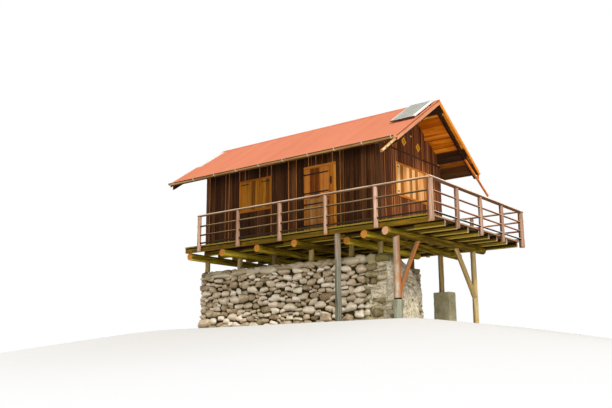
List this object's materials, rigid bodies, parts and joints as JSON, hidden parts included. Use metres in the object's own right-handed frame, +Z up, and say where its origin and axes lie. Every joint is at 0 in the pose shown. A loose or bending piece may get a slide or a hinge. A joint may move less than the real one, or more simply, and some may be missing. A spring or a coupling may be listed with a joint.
{
  "type": "hillside log cabin",
  "caption": "Boarded gable hut on a timber deck with log posts, round log beams and dry stone walls; two-part door, shuttered windows, railing, gutters and a solar panel.",
  "frame": {"origin": "centre of the bounding box on the level ground under the lowest pier; the ridge lies over y = 0", "axes": "+X along the ridge towards the deck gable, -Y towards the door wall, +Z up"},
  "size_m": [9.884, 6.3998, 6.5047],
  "materials": {
    "stones": "rough",
    "concrete": "rough",
    "beam_logs": "rough",
    "joist_timber": "rough",
    "deck_boards": "rough",
    "wall_boards": "matte",
    "roof_cover": "matte",
    "roof_timber": "matte",
    "barge_boards": "matte",
    "ridge_cap": "matte",
    "verge_strip": "matte",
    "gutters": "satin",
    "brackets": "satin",
    "door_wood": "matte",
    "frame_wood": "matte",
    "shutter_wood": "matte",
    "ironwork": "satin",
    "knob": "satin",
    "panel_frame": "satin",
    "panel_glass": "gloss",
    "ornaments": "matte",
    "rail_wood": "rough"
  },
  "bodies": {
    "cabin": {"stone_corner_pier": "stones", "stone_walls": "stones", "concrete_pier": "concrete", "front_pier": "stones", "log_beams": "beam_logs", "joists": "joist_timber", "stub_posts": "beam_logs", "log_posts": "beam_logs", "knee_braces": "beam_logs", "hut_floor": "deck_boards", "front_walkway": "deck_boards", "gable_deck_boards": "deck_boards", "back_walkway": "deck_boards", "front_wall_left": "wall_boards", "front_wall_right": "wall_boards", "front_wall_over_door": "wall_boards", "back_wall": "wall_boards", "gable_wall_deck": "wall_boards", "gable_wall_far": "wall_boards", "roof_beams": "roof_timber", "verge_rafters": "roof_timber", "roof_front": "roof_cover", "roof_back": "roof_cover", "barge_boards": "barge_boards", "ridge_cap": "ridge_cap", "gutters": "gutters", "spouts": "gutters", "gutter_brackets": "brackets", "panel_frame": "panel_frame", "panel_glass": "panel_glass", "panel_rails": "panel_frame", "trim_boards": "wall_boards", "verge_strip": "verge_strip", "front_shutter_straps": "ironwork", "gable_shutter_hinges": "ironwork", "ornaments": "ornaments", "door_frame": "frame_wood", "pintles": "ironwork", "jamb_handle": "ironwork", "front_window_frame": "frame_wood", "front_shutters": "shutter_wood", "gable_window_frame": "frame_wood", "gable_shutters": "shutter_wood", "railing_posts": "rail_wood", "front_rails": "rail_wood", "back_rails": "rail_wood", "side_rails": "rail_wood"},
    "upper_door": {"upper_leaf": "door_wood", "upper_straps": "ironwork"},
    "lower_door": {"lower_leaf": "door_wood", "lower_straps": "ironwork", "leaf_knob": "knob"}
  },
  "joints": [
    {"name": "upper_door_hinge", "type": "hinge", "parent": "cabin", "child": "upper_door", "pos_m": [0.157, -1.799, 4.145], "axis": [0, 0, -1], "range_deg": [0, 165]},
    {"name": "lower_door_hinge", "type": "hinge", "parent": "cabin", "child": "lower_door", "pos_m": [0.157, -1.799, 3.205], "axis": [0, 0, -1], "range_deg": [0, 165]}
  ]
}
